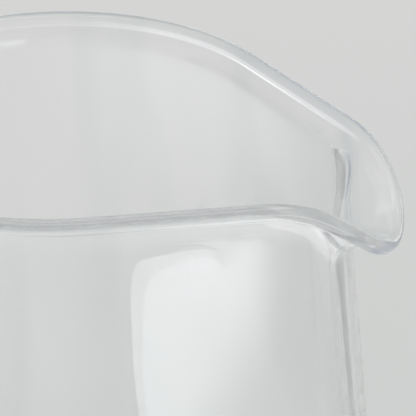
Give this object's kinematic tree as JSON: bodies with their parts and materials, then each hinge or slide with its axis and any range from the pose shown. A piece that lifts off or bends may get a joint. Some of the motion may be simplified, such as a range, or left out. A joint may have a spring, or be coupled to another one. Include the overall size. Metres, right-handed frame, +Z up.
{
  "type": "glass pitcher",
  "caption": "Open clear glass pitcher with a tapering blown body, beaded flared rim, pulled drooping spout and an applied glass rod handle, for pouring drinks.",
  "frame": {"origin": "on the body's axis, on the plane of the flat foot ring that stands on the table", "axes": "+Z up along the body's axis, +X towards the spout, handle towards -X"},
  "size_m": [0.176, 0.1342, 0.2066],
  "materials": {
    "clear_glass": "clear colourless blown glass, fire-polished"
  },
  "bodies": {
    "root": {"glass_body": "clear_glass", "handle": "clear_glass"}
  },
  "joints": []
}
